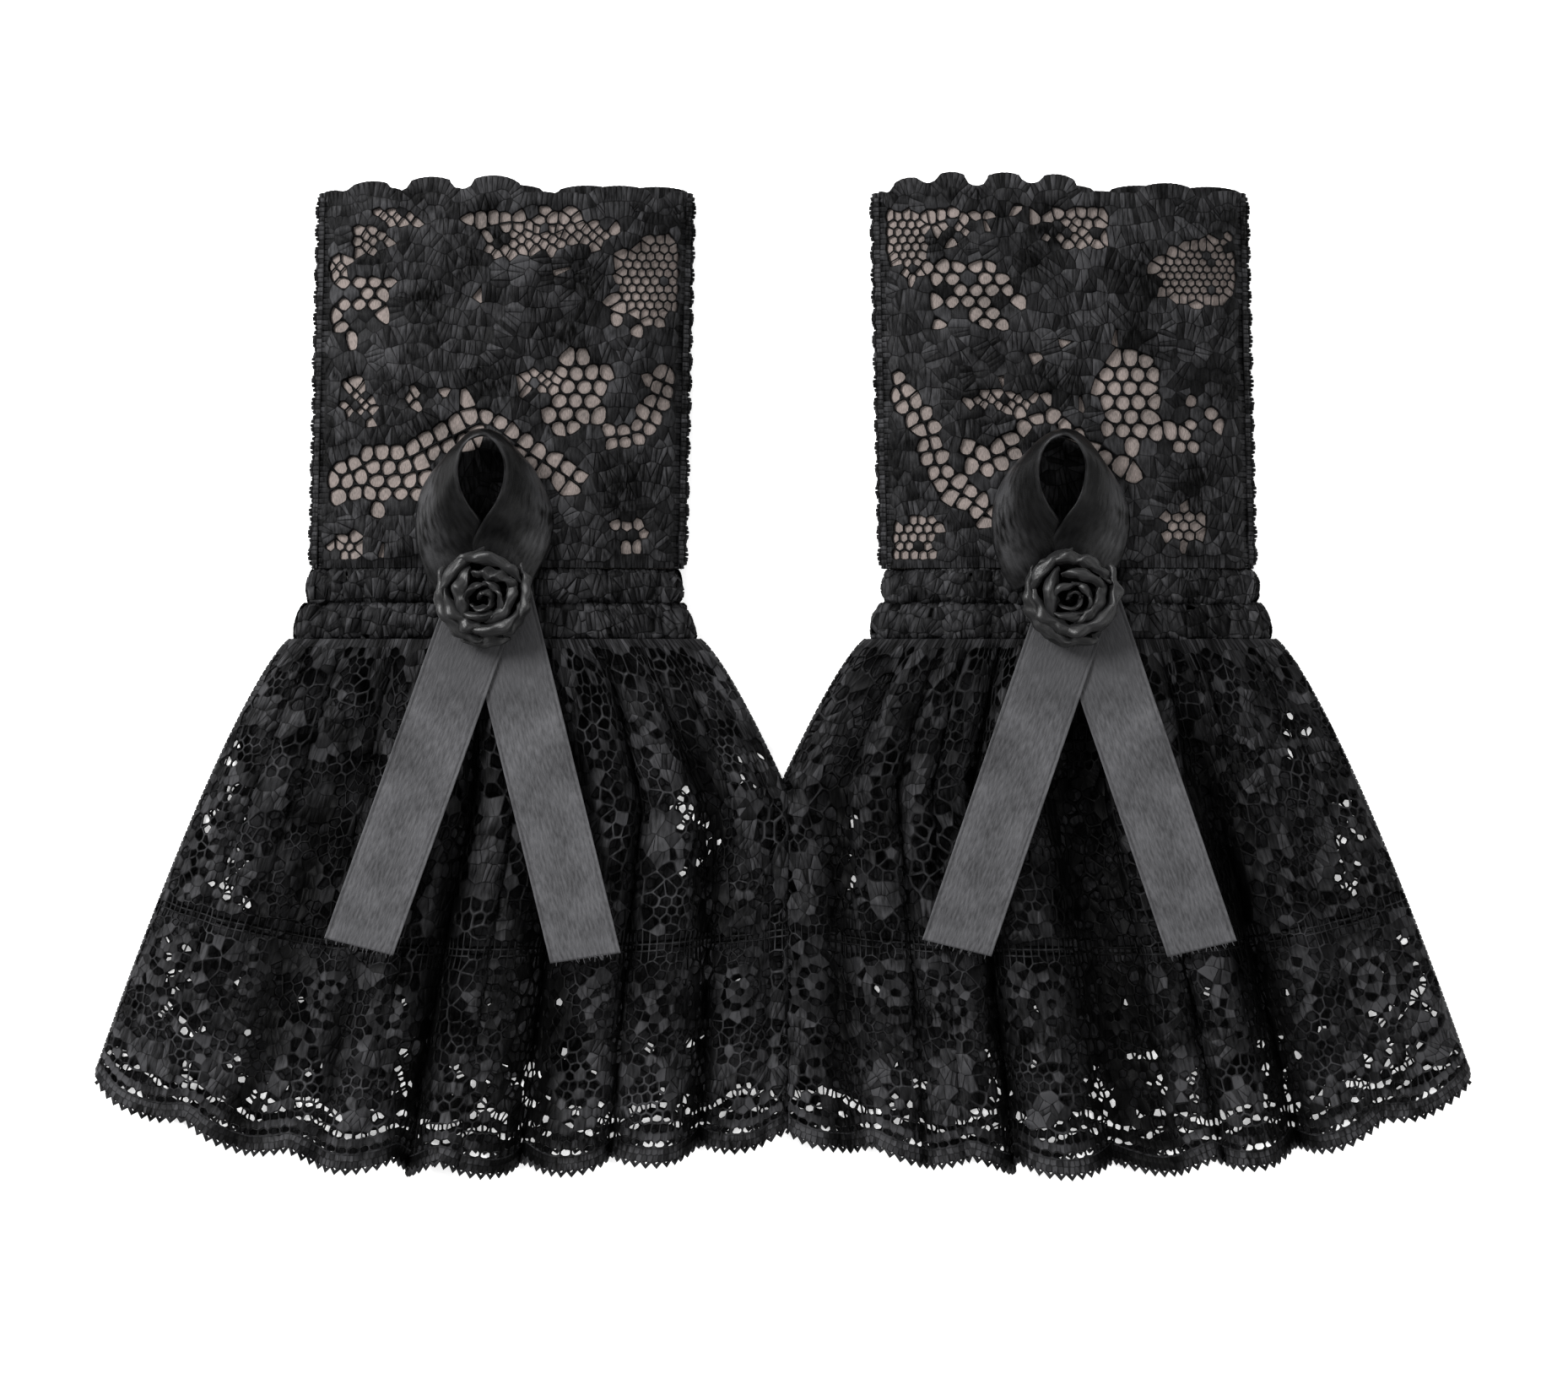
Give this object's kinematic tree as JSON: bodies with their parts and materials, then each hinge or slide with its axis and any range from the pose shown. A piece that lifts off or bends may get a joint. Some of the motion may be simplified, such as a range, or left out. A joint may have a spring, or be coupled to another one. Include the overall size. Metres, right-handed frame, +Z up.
{
  "type": "pair of lace wrist cuffs",
  "caption": "Pair of short lace wrist cuffs, laid flat: elasticated lace tube, gathered lace ruffle, ribbon bow with a rolled rose.",
  "frame": {"origin": "on the table, under the middle of the pair", "axes": "+X across the pair from the left cuff to the right cuff, +Y along the tubes from the ruffles' hems to the tubes' top edges, +Z up from the table"},
  "size_m": [0.2962, 0.212, 0.0259],
  "materials": {
    "lace": "corded stretch lace, satin threads on a fine net, charcoal black",
    "ruffle_lace": "open guipure-style lace, matt black threads",
    "lining": "fine skin-coloured mesh, matt",
    "elastic": "woven elastic, matt black",
    "ribbon": "woven ribbon, back of the satin, charcoal grey",
    "satin": "satin ribbon face, soft gloss, black"
  },
  "bodies": {
    "left_cuff": {"left_tube_lace_front": "lace", "left_tube_lace_back": "lace", "left_tube_lining_front": "lining", "left_tube_lining_back": "lining", "left_tube_seam_outer": "lace", "left_tube_seam_inner": "lace", "left_upper_casing_front": "lace", "left_upper_casing_back": "lace", "left_upper_elastic": "elastic", "left_lower_casing_front": "lace", "left_lower_casing_back": "lace", "left_lower_elastic": "elastic", "left_ruffle_front": "ruffle_lace", "left_ruffle_back": "ruffle_lace", "left_ribbon_knot": "ribbon", "left_rose_outer_petals": "satin", "left_rose_inner_petals": "satin", "left_rose_bud": "satin"},
    "right_cuff": {"right_tube_lace_front": "lace", "right_tube_lace_back": "lace", "right_tube_lining_front": "lining", "right_tube_lining_back": "lining", "right_tube_seam_outer": "lace", "right_tube_seam_inner": "lace", "right_upper_casing_front": "lace", "right_upper_casing_back": "lace", "right_upper_elastic": "elastic", "right_lower_casing_front": "lace", "right_lower_casing_back": "lace", "right_lower_elastic": "elastic", "right_ruffle_front": "ruffle_lace", "right_ruffle_back": "ruffle_lace", "right_ribbon_knot": "ribbon", "right_rose_outer_petals": "satin", "right_rose_inner_petals": "satin", "right_rose_bud": "satin"},
    "left_loop": {"left_ribbon_loop": "satin"},
    "left_tail_over": {"left_ribbon_tail_over": "ribbon"},
    "left_tail_under": {"left_ribbon_tail_under": "ribbon"},
    "right_loop": {"right_ribbon_loop": "satin"},
    "right_tail_over": {"right_ribbon_tail_over": "ribbon"},
    "right_tail_under": {"right_ribbon_tail_under": "ribbon"}
  },
  "joints": [
    {"name": "right_cuff_apart", "type": "slide", "parent": "left_cuff", "child": "right_cuff", "axis": [1, 0, 0], "range_m": [0, 0.06]},
    {"name": "left_loop_tilt", "type": "hinge", "parent": "left_cuff", "child": "left_loop", "pos_m": [-0.063, 0.026, 0.0123], "axis": [1, 0, 0], "range_deg": [0, 20]},
    {"name": "left_tail_over_lift", "type": "hinge", "parent": "left_cuff", "child": "left_tail_over", "pos_m": [-0.063, -0.0054, 0.015], "axis": [-0.9421, 0.3355, 0], "range_deg": [0, 80]},
    {"name": "left_tail_under_lift", "type": "hinge", "parent": "left_cuff", "child": "left_tail_under", "pos_m": [-0.063, -0.0054, 0.015], "axis": [-0.9707, -0.2402, 0], "range_deg": [0, 80]},
    {"name": "right_loop_tilt", "type": "hinge", "parent": "right_cuff", "child": "right_loop", "pos_m": [0.063, 0.026, 0.0123], "axis": [1, 0, 0], "range_deg": [0, 20]},
    {"name": "right_tail_over_lift", "type": "hinge", "parent": "right_cuff", "child": "right_tail_over", "pos_m": [0.063, -0.0054, 0.015], "axis": [-0.9455, 0.3256, 0], "range_deg": [0, 80]},
    {"name": "right_tail_under_lift", "type": "hinge", "parent": "right_cuff", "child": "right_tail_under", "pos_m": [0.063, -0.0054, 0.015], "axis": [-0.9478, -0.319, 0], "range_deg": [0, 80]}
  ]
}
